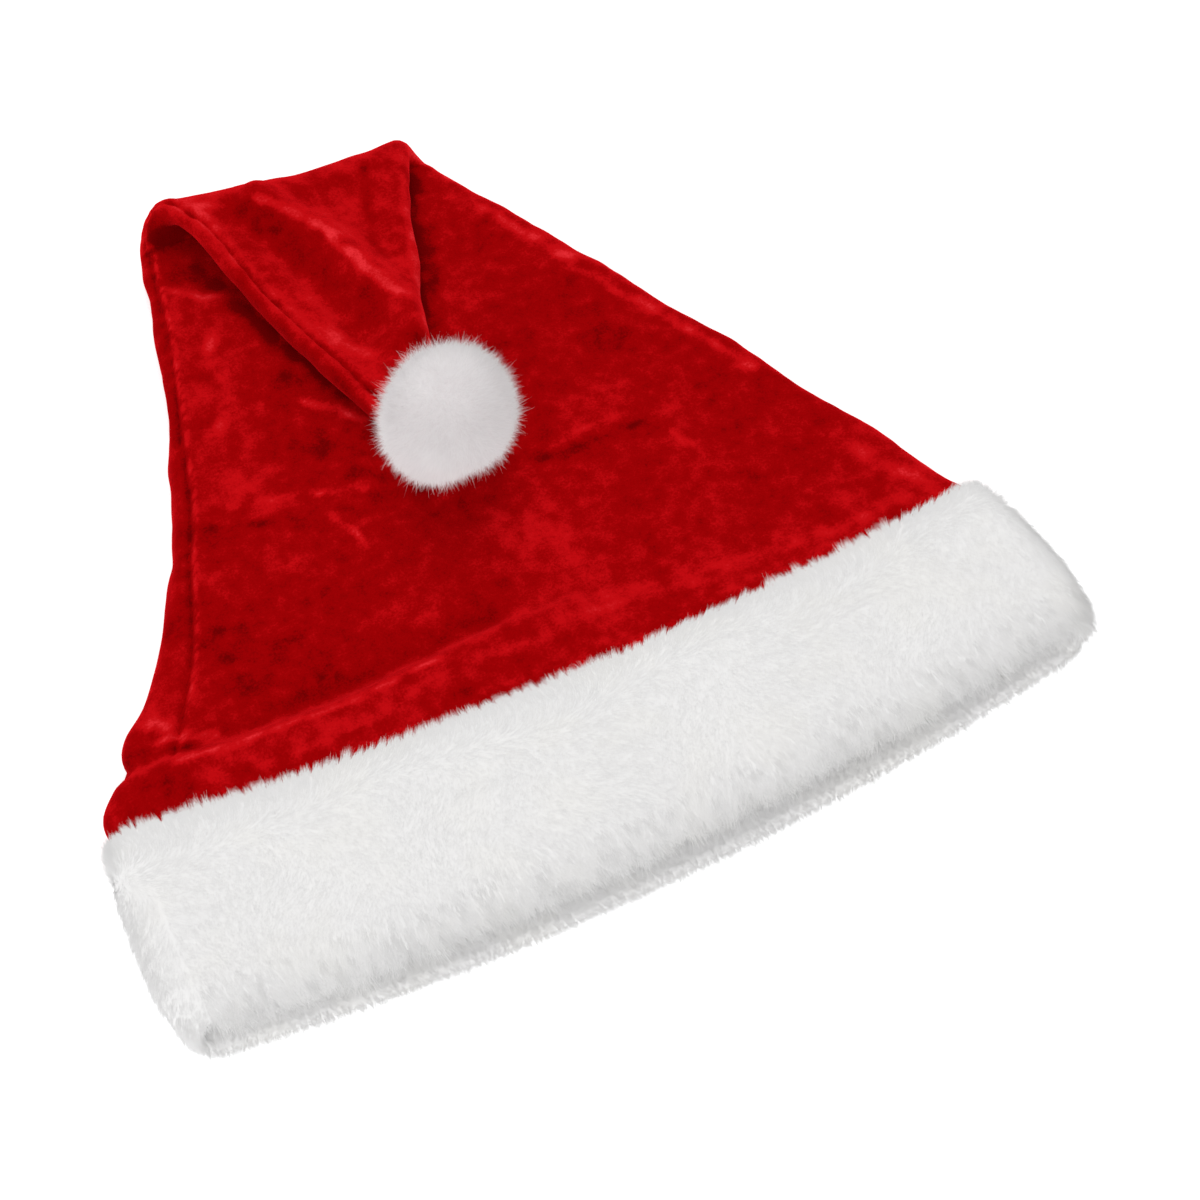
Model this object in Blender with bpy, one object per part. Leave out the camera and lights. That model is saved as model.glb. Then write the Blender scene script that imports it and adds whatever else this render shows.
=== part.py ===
# A santa hat lying flat on its back, with its tip folded over onto the front.
# Metres, +Z up. X runs along the brim, +Y from the brim to the fold, and the hat rests on Z = 0.
# The hat is laid out unfolded first: "along" runs from the brim's top edge to the tip.

import math
from collections import namedtuple

import bmesh
import bpy
from mathutils import Vector

MM = 0.001

# Driving sizes
CLOTH = 1.8 * MM  # thickness of the velvet
PIECE_GAP = 0.45 * MM  # between pieces that touch
BRIM_HEIGHT = 66 * MM
TIP_LENGTH = 322 * MM  # from the brim's top edge to the tip, unfolded
POMPOM_RADIUS = 22.4 * MM
POMPOM_HEAD = 19.6 * MM  # the ball under the locks

# The steps that the loop round the hat is divided into
PANEL_STEPS = 12  # across the front or the back panel of the crown
BRIM_STEPS = 36  # across the front or the back of the brim
SIDE_STEPS = 6  # round each side

# The loop of cloth round the hat at each distance along it, in millimetres: x of its middle,
# half its flat width, the radius of its left and right sides, the rise of the front's middle,
# and the height of the back off the table.
HatRow = namedtuple("HatRow", "along middle half left right dome floor")
HAT_ROWS = (
    HatRow(-68, 0.6, 141.0, 5.8, 7.4, 4.2, 3.7),
    HatRow(-40, 0.6, 141.4, 5.8, 7.4, 4.2, 3.7),
    HatRow(0, -0.7, 136.8, 5.8, 6.6, 4.0, 3.7),
    HatRow(10, -1.7, 133.6, 5.7, 6.1, 4.0, 3.2),
    HatRow(30, 1.3, 123.2, 5.5, 5.7, 4.2, 1.4),
    HatRow(49, 4.0, 111.7, 5.3, 5.5, 4.2, 0.9),
    HatRow(79, 5.9, 95.7, 5.0, 5.0, 3.6, 0.9),
    HatRow(104, 5.7, 83.8, 4.6, 4.6, 3.0, 0.9),
    HatRow(159, 1.4, 61.4, 4.2, 4.1, 2.0, 0.9),
    HatRow(200, -3.0, 46.2, 3.7, 3.6, 0.8, 0.9),
    HatRow(226, -1.8, 35.4, 3.4, 3.4, 0.0, 0.9),
    HatRow(251, 0.6, 27.4, 3.4, 3.4, 0.0, 0.9),
    HatRow(278, 4.2, 18.5, 3.4, 3.4, 0.0, 0.9),
    HatRow(300, 8.8, 11.2, 3.3, 3.3, 0.0, 0.9),
    HatRow(324, 13.0, 5.5, 3.0, 3.0, 0.0, 0.9),
)

# How far apart the rows of cloth lie, from the brim's groove to the tip
ROLL_START = 4 * MM
ROLL_END = 34 * MM  # where the roll of cloth over the brim ends
GROOVE_ROW_STEP = 12 * MM
ROLL_ROW_STEP = 7.5 * MM
BODY_ROW_STEP = 15 * MM
BEND_ROW_STEP = 2.8 * MM
BEND_MARGIN = 3 * MM  # the close rows start this far before the bend, and end this far after it
FLAP_ROW_STEP = 8 * MM
TIP_POINT = 2 * MM  # the last row closes to a point this far on

# The line that the tip is folded over
FOLD_AT = 193 * MM  # along the middle of the hat
FOLD_TURN = math.radians(-3.5)
FOLD_DIP = 4 * MM  # the middle of the fold sags towards the brim
FOLD_LEFT = (-42 * MM, 8.8 * MM)  # x and bend radius at the fold's left end
FOLD_RIGHT = (42 * MM, 5.8 * MM)
DRAPE_LENGTH = 55 * MM  # past the bend the flap comes down onto the front
DRAPE_GAP = 0.7 * MM
PLEAT_START = 8 * MM  # the flap's pleats grow over this length past the bend

# The brim and the seam above it bow towards the wearer's face
BOW = 12 * MM
HEM_BOW = 11 * MM
TOP_TILT = 2.2 * MM  # the right end of the brim's top edge lies lower, and that of the hem higher
HEM_TILT = -2.6 * MM
BOW_HALF_WIDTH = 142 * MM
BOW_FADE = 95 * MM

# Soft ridges, and valleys with a negative height, as millimetres on the plan
Crease = namedtuple("Crease", "x0 y0 x1 y1 height width")
FRONT_CREASES = (
    Crease(-140, 7, -30, 8, 1.8, 6),  # the roll of cloth over the brim
    Crease(-128, 21, -20, 17, -2.6, 5),  # the valley behind it
    Crease(-47, 80, -33, 59, 0.8, 4),
    Crease(-12, 74, 68, 71, 1.0, 5),
    Crease(-76, 97, -20, 84, 0.8, 5),
)
FLAP_CREASES = (
    Crease(-33, 192, -11, 100, 2.2, 5),  # the roll along the seam
    Crease(-22, 197, -3, 122, -2.2, 5),  # the valley beside it
    Crease(-14, 191, 15, 132, 2.8, 6),  # the ridge down the middle
    Crease(14, 186, 20, 142, -1.6, 6),  # the hollow between the ridge and the right edge
)

# The wall of the brim, in millimetres: the distance from its top edge, how far out of the middle
# of the wall, and the size of the locks of fur below it. The velvet's lower edge is in the groove.
WallRow = namedtuple("WallRow", "along out tufts")
BRIM_WALL = (
    WallRow(2.5, 2.8, 0.0),
    WallRow(-4, 4.4, 1.0),
    WallRow(-12, 4.9, 0.8),
    WallRow(-20, 5.0, 0.7),
    WallRow(-28, 5.0, 0.6),
    WallRow(-36, 5.0, 0.6),
    WallRow(-44, 5.0, 0.7),
    WallRow(-52, 4.9, 0.8),
    WallRow(-60, 4.4, 1.1),
    WallRow(-64.8, 2.8, 0.0),
    WallRow(-66, 0.0, 0.0),
    WallRow(-64.5, -2.6, 0.0),
    WallRow(-57, -3.4, 0.0),
    WallRow(-36, -3.4, 0.0),
    WallRow(-12, -3.4, 0.0),
)
GROOVE_DEPTH = 6.5 * MM
GROOVE_HALF = CLOTH / 2 + PIECE_GAP
GROOVE_LIP = ((-3 * MM, 2.4 * MM), (-3 * MM, GROOVE_HALF))  # its inner edge, as along and inward
TUFT_HEIGHT = 2.0 * MM
TUFT_LEAN = 3.0 * MM  # down to the hem, and up over the velvet at the top edge
TOP_TUFTS_END = -10 * MM
TUFTS_ABOVE = 7 * MM  # none on the underside, which lies on the table
LEAST_TUFT = 0.2

# No two locks are quite alike: each is turned on from the last by these angles
LOCK_SWAY_X = 0.5  # how far locks lean sideways, as a share of their height
LOCK_SWAY_Y = 0.3
LOCK_UNEVEN = 0.3
LOCK_TURN_X = 2.4
LOCK_TURN_Y = 1.7
LOCK_TURN_HEIGHT = 3.1

# The pompom sits on the folded tip
POMPOM_AT = (1.8 * MM, 77.8 * MM, 35.2 * MM)
LOCK_GRID = 7  # locks along each side of the cube that the ball is blown up from
LOCK_DROOP = 0.6 * MM
SEAT_CLEAR = 4 * MM  # no locks nearer than this to the front that it lies on
TIP_CLEAR = Vector((18, 82, 33)) * MM  # no locks nearer than this to the tip of the velvet
SOCKET_GAP = 0.6 * MM
SOCKET_LENGTH = 40 * MM
SOCKET_PAST_TIP = 1.5 * MM
SOCKET_POINT = 4 * MM
SOCKET_STEPS = 8

Finish = namedtuple("Finish", "red green blue roughness sheen")
VELVET = Finish(0.42, 0.004, 0.008, 0.62, 0.6)
PLUSH = Finish(0.86, 0.86, 0.84, 0.9, 0.3)
POMPOM_FUR = Finish(0.84, 0.82, 0.82, 0.92, 0.3)


def smooth(t):
    t = min(1.0, max(0.0, t))
    return t * t * (3 - 2 * t)


def row_at(along):
    """The hat's row at a distance along it, in metres, eased between the rows of the table."""
    at = along / MM
    at = min(HAT_ROWS[-1].along, max(HAT_ROWS[0].along, at))
    i = max(n for n, row in enumerate(HAT_ROWS[:-1]) if row.along <= at)
    before, low, high, after = (HAT_ROWS[min(len(HAT_ROWS) - 1, max(0, i + n))] for n in (-1, 0, 1, 2))
    span = high.along - low.along
    t = (at - low.along) / span
    values = []
    for a, b, c, d in zip(before[1:], low[1:], high[1:], after[1:]):
        slope_low = (c - a) / max(high.along - before.along, 1) * span
        slope_high = (d - b) / max(after.along - low.along, 1) * span
        value = (
            (2 * t**3 - 3 * t**2 + 1) * b
            + (t**3 - 2 * t**2 + t) * slope_low
            + (3 * t**2 - 2 * t**3) * c
            + (t**3 - t**2) * slope_high
        )
        values.append(value * MM)
    values[-1] = max(values[-1], CLOTH / 2)  # no lower than the table
    return HatRow(along, *values)


def crease_height(creases, x, y):
    """The height that the soft ridges and valleys add at a point of the plan."""
    total = 0.0
    for crease in creases:
        start = Vector((crease.x0, crease.y0)) * MM
        run = Vector((crease.x1, crease.y1)) * MM - start
        t = (Vector((x, y)) - start).dot(run) / run.length_squared
        away = (Vector((x, y)) - start - run * min(1.0, max(0.0, t))).length
        fade = 1 - 0.6 * smooth(t)
        total += crease.height * MM * fade * math.exp(-((away / (crease.width * MM)) ** 2))
    return total


def front_height(row, x):
    """Height of the front panel at a distance x from the row's middle."""
    flat_left, flat_right = row.half - row.left, row.half - row.right
    share = min(1.0, max(0.0, (x + flat_left) / (flat_left + flat_right)))
    side = row.left + (row.right - row.left) * share
    dome = row.dome * max(0.0, 1 - (2 * share - 1) ** 2)
    creases = crease_height(FRONT_CREASES, x + row.middle, row.along) if row.along < FOLD_AT else 0.0
    edge_fade = 1 - (2 * share - 1) ** 8
    return row.floor + 2 * side + dome + creases * edge_fade


LoopPoint = namedtuple("LoopPoint", "x z back")  # back is 0 on the front panel, 1 on the back panel


def loop_of(row, panel_steps):
    """The closed loop of cloth across the hat: the front, the right side, the back, the left side."""
    flat_left, flat_right = row.half - row.left, row.half - row.right
    points = []
    for step in range(panel_steps + 1):
        x = -flat_left + (flat_left + flat_right) * step / panel_steps
        points.append(LoopPoint(x, front_height(row, x), 0.0))
    for step in range(1, SIDE_STEPS):
        turn = math.pi * step / SIDE_STEPS
        z = row.floor + row.right * (1 + math.cos(turn))
        points.append(LoopPoint(flat_right + row.right * math.sin(turn), z, step / SIDE_STEPS))
    for step in range(panel_steps + 1):
        x = flat_right - (flat_left + flat_right) * step / panel_steps
        points.append(LoopPoint(x, row.floor, 1.0))
    for step in range(1, SIDE_STEPS):
        turn = math.pi * step / SIDE_STEPS
        z = row.floor + row.left * (1 - math.cos(turn))
        points.append(LoopPoint(-flat_left - row.left * math.sin(turn), z, 1 - step / SIDE_STEPS))
    return points


def bowed(x, along):
    """How far a point is moved towards the wearer's face by the curve of the brim."""
    below = min(1.0, max(0.0, -along / BRIM_HEIGHT))
    across = x / BOW_HALF_WIDTH
    depth = BOW + (HEM_BOW - BOW) * below
    tilt = TOP_TILT + (HEM_TILT - TOP_TILT) * below
    fade = 1 - smooth(along / BOW_FADE)
    return fade * (depth * (1 - across**2) + tilt * across)


def fold_radius(x):
    (left_x, left_radius), (right_x, right_radius) = FOLD_LEFT, FOLD_RIGHT
    share = min(1.3, max(-0.3, (x - left_x) / (right_x - left_x)))
    return left_radius + (right_radius - left_radius) * share


def folded(row, point):
    """Where a point of the unfolded hat goes when the tip is folded over."""
    x = row.middle + point.x
    along_line = Vector((math.cos(FOLD_TURN), math.sin(FOLD_TURN)))
    over_line = Vector((-math.sin(FOLD_TURN), math.cos(FOLD_TURN)))
    dip = FOLD_DIP * max(0.0, 1 - (x / FOLD_LEFT[0]) ** 2)
    offset = Vector((x, row.along - FOLD_AT + dip))
    past = offset.dot(over_line)
    if past <= 0:
        return Vector((x, row.along - bowed(x, row.along), point.z))
    foot = Vector((0, FOLD_AT - dip)) + along_line * offset.dot(along_line)
    radius = fold_radius(x)
    middle_z = row.floor + row.left
    inward = point.z - middle_z
    bend = math.pi * radius
    if past < bend:
        turn = past / radius
        plan = foot + over_line * (radius - inward) * math.sin(turn)
        return Vector((plan.x, plan.y, middle_z + radius - (radius - inward) * math.cos(turn)))
    plan = foot - over_line * (past - bend)
    looped = middle_z + 2 * radius - inward
    under = row_at(plan.y)
    body_top = front_height(under, plan.x - under.middle)
    from_front = front_height(row, point.x) - point.z
    draped = body_top + CLOTH + DRAPE_GAP + from_front
    share = smooth((past - bend) / DRAPE_LENGTH)
    pleats = crease_height(FLAP_CREASES, plan.x, plan.y) * point.back
    pleats *= smooth((past - bend) / PLEAT_START)
    return Vector((plan.x, plan.y, looped + (draped - looped) * share + pleats))


def crown_rows():
    """Distances along the hat of the crown's rows."""
    bend_start = FOLD_AT - BEND_MARGIN
    bend_end = FOLD_AT + math.pi * FOLD_LEFT[1] + BEND_MARGIN
    stretches = (
        (-GROOVE_DEPTH + PIECE_GAP, ROLL_START, GROOVE_ROW_STEP),
        (ROLL_START, ROLL_END, ROLL_ROW_STEP),
        (ROLL_END, bend_start, BODY_ROW_STEP),
        (bend_start, bend_end, BEND_ROW_STEP),
        (bend_end, TIP_LENGTH, FLAP_ROW_STEP),
    )
    rows = []
    for start, end, step in stretches:
        count = max(1, round((end - start) / step))
        rows += [start + (end - start) * i / count for i in range(count)]
    return rows + [TIP_LENGTH]


def material(name, finish):
    made = bpy.data.materials.new(name)
    made.use_nodes = True
    shader = made.node_tree.nodes["Principled BSDF"]
    shader.inputs["Base Color"].default_value = (finish.red, finish.green, finish.blue, 1)
    shader.inputs["Roughness"].default_value = finish.roughness
    shader.inputs["Metallic"].default_value = 0.0
    shader.inputs["Sheen Weight"].default_value = finish.sheen
    made.diffuse_color = (finish.red, finish.green, finish.blue, 1)
    return made


def make_object(name, bm, finish):
    """A smooth-shaded object from a finished bmesh."""
    bmesh.ops.recalc_face_normals(bm, faces=bm.faces)
    mesh = bpy.data.meshes.new(name)
    bm.to_mesh(mesh)
    bm.free()
    mesh.shade_smooth()
    mesh.materials.append(material(name, finish))
    made = bpy.data.objects.new(name, mesh)
    bpy.context.scene.collection.objects.link(made)
    return made


def bridge(bm, first, second):
    """Quads between two rings of the same count."""
    count = len(first)
    faces = []
    for i in range(count):
        j = (i + 1) % count
        faces.append(bm.faces.new((first[i], first[j], second[j], second[i])))
    return faces


def close_to_point(bm, ring, length):
    """Closes a ring at the tip of the hat to a point that lies further on, towards the brim."""
    middle = sum((vert.co for vert in ring), Vector()) / len(ring)
    point = bm.verts.new(middle + Vector((0, -length, 0)))
    for i, vert in enumerate(ring):
        bm.faces.new((vert, ring[(i + 1) % len(ring)], point))


def make_crown():
    """The velvet cone: one skin from the brim to the tip, thickened to the cloth's wall."""
    bm = bmesh.new()
    rings = []
    for along in crown_rows():
        row = row_at(along)
        rings.append([bm.verts.new(folded(row, point)) for point in loop_of(row, PANEL_STEPS)])
    for first, second in zip(rings, rings[1:]):
        bridge(bm, first, second)
    close_to_point(bm, rings[-1], TIP_POINT)
    crown = make_object("crown", bm, VELVET)
    wall = crown.modifiers.new("Cloth", "SOLIDIFY")
    wall.thickness = CLOTH
    wall.offset = 0.0
    wall.use_even_offset = True
    return crown


def brim_ring(bm, wall_along, out):
    """One ring of the brim's wall, a given distance out of the middle of the wall."""
    row = row_at(wall_along)
    loop = loop_of(row, BRIM_STEPS)
    verts = []
    for i, point in enumerate(loop):
        before, after = loop[i - 1], loop[(i + 1) % len(loop)]
        run = Vector((after.x - before.x, after.z - before.z)).normalized()
        x = row.middle + point.x - run.y * out
        z = max(0.0, point.z + run.x * out)
        verts.append(bm.verts.new((x, wall_along - bowed(x, wall_along), z)))
    return verts


def raise_tufts(bm, faces, height, lean):
    """Turns each face into a short lock that leans along the given direction, no two quite alike."""
    centres = bmesh.ops.poke(bm, faces=faces)["verts"]
    for i, vert in enumerate(centres):
        normal = sum((face.normal for face in vert.link_faces), Vector()).normalized()
        sway = Vector((
            LOCK_SWAY_X * math.sin(i * LOCK_TURN_X),
            LOCK_SWAY_Y * math.cos(i * LOCK_TURN_Y),
            0,
        ))
        reach = 1 + LOCK_UNEVEN * math.sin(i * LOCK_TURN_HEIGHT)
        vert.co += (normal * reach + sway) * height + lean


def make_brim():
    """The plush brim, its top edge round the velvet's, with locks of fur on its outside."""
    bm = bmesh.new()
    wall = [(row.along * MM, row.out * MM) for row in BRIM_WALL]
    lip = [(along, -inward) for along, inward in GROOVE_LIP]
    groove = [(-GROOVE_DEPTH, -GROOVE_HALF), (-GROOVE_DEPTH, GROOVE_HALF), (wall[0][0], GROOVE_HALF)]
    rings = [brim_ring(bm, along, out) for along, out in wall + lip + groove]
    bands = [bridge(bm, ring, rings[(i + 1) % len(rings)]) for i, ring in enumerate(rings)]
    bmesh.ops.recalc_face_normals(bm, faces=bm.faces)
    for upper, lower, band in zip(BRIM_WALL, BRIM_WALL[1:], bands):
        size = (upper.tufts + lower.tufts) / 2
        if size < LEAST_TUFT:
            continue
        lean = TUFT_LEAN if upper.along * MM > TOP_TUFTS_END else -TUFT_LEAN
        raised = [face for face in band if face.calc_center_median().z > TUFTS_ABOVE]
        raise_tufts(bm, raised, TUFT_HEIGHT * size, Vector((0, lean * size, 0)))
    return make_object("brim", bm, PLUSH)


def seat_height(x, y):
    """The height of the front's outer face, with the gap that the pompom keeps from it."""
    under = row_at(y)
    return front_height(under, x - under.middle) + CLOTH / 2 + PIECE_GAP


def make_pompom():
    """A ball with a lock of fur drawn out of each patch, pressed flat where it lies on the front."""
    bm = bmesh.new()
    bmesh.ops.create_cube(bm, size=2)
    bmesh.ops.subdivide_edges(bm, edges=bm.edges, cuts=LOCK_GRID - 1, use_grid_fill=True)
    for vert in bm.verts:
        eased = Vector(math.tan(axis * math.pi / 4) for axis in vert.co)
        vert.co = eased.normalized() * POMPOM_HEAD + Vector(POMPOM_AT)
    bmesh.ops.recalc_face_normals(bm, faces=bm.faces)
    locks = []
    for face in bm.faces:
        place = face.calc_center_median()
        by_tip = place.y > TIP_CLEAR.y and place.z < TIP_CLEAR.z and abs(place.x) < TIP_CLEAR.x
        if place.z > seat_height(place.x, place.y) + SEAT_CLEAR and not by_tip:
            locks.append(face)
    raise_tufts(bm, locks, POMPOM_RADIUS - POMPOM_HEAD, Vector((0, 0, -LOCK_DROOP)))
    for vert in bm.verts:
        vert.co.z = max(vert.co.z, seat_height(vert.co.x, vert.co.y))
    return make_object("pompom", bm, POMPOM_FUR)


def cut_tip_socket(pompom):
    """Hollows the pompom where the tip of the velvet runs into it."""
    grow = CLOTH / 2 + SOCKET_GAP
    bm = bmesh.new()
    rings = []
    for step in range(SOCKET_STEPS + 1):
        along = TIP_LENGTH + SOCKET_PAST_TIP - SOCKET_LENGTH * (1 - step / SOCKET_STEPS)
        row = row_at(along)
        grown = row._replace(half=row.half + grow, left=row.left + grow, right=row.right + grow)
        loop = [point._replace(z=point.z - grow) for point in loop_of(grown, PANEL_STEPS)]
        rings.append([bm.verts.new(folded(row, point)) for point in loop])
    for first, second in zip(rings, rings[1:]):
        bridge(bm, first, second)
    bm.faces.new(rings[0])
    close_to_point(bm, rings[-1], SOCKET_POINT)
    socket = make_object("tip_socket", bm, VELVET)
    socket.hide_render = True
    socket.display_type = "WIRE"
    cut = pompom.modifiers.new("Tip socket", "BOOLEAN")
    cut.operation = "DIFFERENCE"
    cut.object = socket


def centre_on_origin(pieces):
    """Puts the origin under the middle of the hat's box, on the table."""
    bpy.context.view_layer.update()
    corners = [piece.matrix_world @ Vector(corner) for piece in pieces for corner in piece.bound_box]
    middle = Vector((
        (min(c.x for c in corners) + max(c.x for c in corners)) / 2,
        (min(c.y for c in corners) + max(c.y for c in corners)) / 2,
        0,
    ))
    for piece in bpy.data.objects:
        piece.location -= middle


def main():
    for old in list(bpy.data.objects):
        bpy.data.objects.remove(old)
    crown = make_crown()
    brim = make_brim()
    pompom = make_pompom()
    cut_tip_socket(pompom)
    centre_on_origin([crown, brim, pompom])


main()
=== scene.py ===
import math

import bpy
import numpy as np
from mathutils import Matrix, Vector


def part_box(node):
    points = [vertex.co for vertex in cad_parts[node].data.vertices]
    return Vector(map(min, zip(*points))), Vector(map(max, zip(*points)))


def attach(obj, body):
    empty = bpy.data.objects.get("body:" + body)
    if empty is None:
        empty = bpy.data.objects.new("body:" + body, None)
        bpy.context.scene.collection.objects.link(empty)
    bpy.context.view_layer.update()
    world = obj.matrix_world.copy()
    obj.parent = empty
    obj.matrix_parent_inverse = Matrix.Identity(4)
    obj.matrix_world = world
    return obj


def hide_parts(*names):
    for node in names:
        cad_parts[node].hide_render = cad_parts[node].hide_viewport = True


# A santa hat lying flat: a velvet crown with its tip folded over, a plush brim and a pompom.
# Lengths in the tables are millimetres, laid out as the hat is cut: "along" runs from the
# brim's top edge to the tip, x across the hat. Everything else is in metres.

mm = 0.001
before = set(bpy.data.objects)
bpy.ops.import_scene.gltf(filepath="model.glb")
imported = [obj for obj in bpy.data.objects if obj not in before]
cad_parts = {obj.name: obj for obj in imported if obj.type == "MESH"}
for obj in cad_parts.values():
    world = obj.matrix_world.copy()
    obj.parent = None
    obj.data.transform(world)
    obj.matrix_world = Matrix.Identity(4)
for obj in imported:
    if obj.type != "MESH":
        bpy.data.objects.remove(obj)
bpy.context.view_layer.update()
print("frame loaded")


# numbers and noise

def eased(t):
    t = np.clip(t, 0.0, 1.0)
    return t * t * (3 - 2 * t)


def bell(distance, width):
    return np.exp(-((distance / width) ** 2))


def unit(vectors):
    return vectors / np.maximum(np.linalg.norm(vectors, axis=-1, keepdims=True), 1e-12)


def softNoise(points, size, seed, waves=14):  # smooth, about -1 to 1, with lumps of the given size
    rng = np.random.default_rng(seed)
    total = np.zeros(points.shape[:-1])
    for _ in range(waves):
        direction = unit(rng.normal(size=points.shape[-1]))
        turns = 2 * math.pi / (size * rng.uniform(1.2, 3.2))
        total += np.sin(points @ direction * turns + rng.uniform(0, 2 * math.pi))
    return total * math.sqrt(1 / waves)


# the form of the hat, as it lies

hat = {
    "cloth": 1.8 * mm,  # the velvet's wall
    "tipLength": 322 * mm,  # from the brim's top edge to the tip, unfolded
    "brimHeight": 66 * mm,
    "grooveDepth": 6 * mm,  # how far the velvet goes into the brim
    "foldAt": 193 * mm,
    "foldTurn": math.radians(-3.5),
    "foldDip": 4 * mm,
    "foldLeft": (-42 * mm, 8.8 * mm),  # x and radius of the bend at its left end
    "foldRight": (42 * mm, 5.8 * mm),
    "drapeLength": 42 * mm,
    "drapeGap": 0.7 * mm,
    "bow": 12 * mm,  # the brim's curve towards the face
    "hemBow": 11 * mm,
    "topTilt": 2.2 * mm,
    "hemTilt": -2.6 * mm,
    "bowHalfWidth": 142 * mm,
    "bowFade": 95 * mm,
}

hatRows = np.array([  # along, middle x, half width, left radius, right radius, dome, floor
    (-68, 0.6, 141.0, 5.8, 7.4, 4.2, 3.7),
    (-40, 0.6, 141.4, 5.8, 7.4, 4.2, 3.7),
    (0, -0.7, 136.8, 5.8, 6.6, 4.0, 3.7),
    (10, -1.7, 133.6, 5.7, 6.1, 4.0, 3.2),
    (30, 1.3, 123.2, 5.5, 5.7, 4.2, 1.4),
    (49, 4.0, 111.7, 5.3, 5.5, 4.2, 0.9),
    (79, 5.9, 95.7, 5.0, 5.0, 3.6, 0.9),
    (104, 5.7, 83.8, 4.6, 4.6, 3.0, 0.9),
    (159, 1.4, 61.4, 4.2, 4.1, 2.0, 0.9),
    (200, -3.0, 46.2, 3.4, 3.4, 0.8, 0.9),
    (226, 0.8, 34.4, 2.8, 3.0, 0.0, 0.9),
    (251, 2.8, 26.4, 2.7, 3.0, 0.0, 0.9),
    (278, 5.6, 17.9, 2.8, 3.0, 0.0, 0.9),
    (300, 8.8, 11.2, 3.3, 3.3, 0.0, 0.9),
    (324, 13.0, 5.5, 3.0, 3.0, 0.0, 0.9),
]) * mm

bodyFolds = (  # points of (x, along), height, width on the line's left, width on its right
    (((-128, 17.5), (-115, 16), (-95, 15.2), (-71, 16), (-49, 17.7), (-16, 20), (15, 20)), 3.0, 3.0, 8.0),
    (((-128, 23), (-113, 21.5), (-82, 21.5), (-42, 24), (-10, 26)), -2.6, 5.0, 3.0),  # behind the roll
    (((-47, 80), (-33, 59)), 1.0, 4.0, 4.0),
    (((-12, 74), (20, 72), (68, 71)), 1.3, 5.0, 4.0),
    (((-76, 97), (-20, 84)), 1.0, 5.0, 5.0),
    (((-51, 176), (-38, 165), (-28, 160)), 1.2, 4.0, 3.0),
)

flapFolds = (  # points of (x, y)
    (((-32, 192), (-31, 170), (-28, 150), (-21, 128), (-15, 108)), 2.4, 3.5, 5.0),  # roll along the seam
    (((-23, 194), (-18.5, 182), (-12, 164), (-6.6, 141), (-4, 121)), -3.2, 6.0, 5.0),  # valley beside it
    (((-16, 196), (-5.3, 178), (1, 168), (5, 154), (9, 140), (12, 128), (12.5, 114)), 5.2, 5.5, 9.0),  # ridge
    (((14, 188), (17, 165), (18, 146)), -2.2, 5.0, 6.0),  # the hollow by the right edge
)


def rowsAt(along):  # middle, half, left, right, dome and floor of the loop of cloth at each distance
    last = len(hatRows) - 1
    at = np.clip(along, hatRows[0, 0], hatRows[-1, 0])
    i = np.clip(np.searchsorted(hatRows[:, 0], at, side="right") - 1, 0, last - 1)
    before, low, high, after = (hatRows[np.clip(i + n, 0, last)] for n in (-1, 0, 1, 2))
    span = (high - low)[..., :1]
    t = (at[..., None] - low[..., :1]) / span
    slopeLow = (high - before) / np.maximum((high - before)[..., :1], mm) * span
    slopeHigh = (after - low) / np.maximum((after - low)[..., :1], mm) * span
    values = (
        (2 * t**3 - 3 * t**2 + 1) * low + (t**3 - 2 * t**2 + t) * slopeLow
        + (3 * t**2 - 2 * t**3) * high + (t**3 - t**2) * slopeHigh
    )
    values[..., 6] = np.maximum(values[..., 6], hat["cloth"] / 2)
    return [values[..., n] for n in range(1, 7)]


def foldHeight(folds, x, y, ends=8 * mm):  # what soft ridges and valleys add, each eased in at its ends
    total = np.zeros(np.broadcast(x, y).shape)
    for line, height, above, below in folds:
        line = np.array(line) * mm
        lengths = np.linalg.norm(np.diff(line, axis=0), axis=1)
        nearest = np.full(total.shape, np.inf)
        onLeft = np.zeros(total.shape, dtype=bool)
        travelled = np.zeros(total.shape)
        for n, (start, end) in enumerate(zip(line, line[1:])):
            run = end - start
            t = np.clip(((x - start[0]) * run[0] + (y - start[1]) * run[1]) / (run @ run), 0, 1)
            awayX, awayY = x - start[0] - run[0] * t, y - start[1] - run[1] * t
            away = np.hypot(awayX, awayY)
            closer = away < nearest
            nearest = np.where(closer, away, nearest)
            onLeft = np.where(closer, run[0] * awayY - run[1] * awayX > 0, onLeft)
            travelled = np.where(closer, lengths[:n].sum() + t * lengths[n], travelled)
        fade = eased(0.25 + travelled / ends) * eased(0.25 + (lengths.sum() - travelled) / ends)
        total += height * mm * fade * bell(nearest, np.where(onLeft, above, below) * mm)
    return total


def frontHeight(along, x):  # height of the front panel's middle, x from the row's middle
    middle, half, left, right, dome, floor = rowsAt(along)
    flatLeft, flatRight = half - left, half - right
    share = np.clip((x + flatLeft) / (flatLeft + flatRight), 0, 1)
    side = left + (right - left) * share
    creases = foldHeight(bodyFolds, x + middle, along) * (along < hat["foldAt"])
    edgeFade = 1 - (2 * share - 1) ** 8
    return floor + 2 * side + dome * (1 - (2 * share - 1) ** 2) + creases * edgeFade


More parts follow.
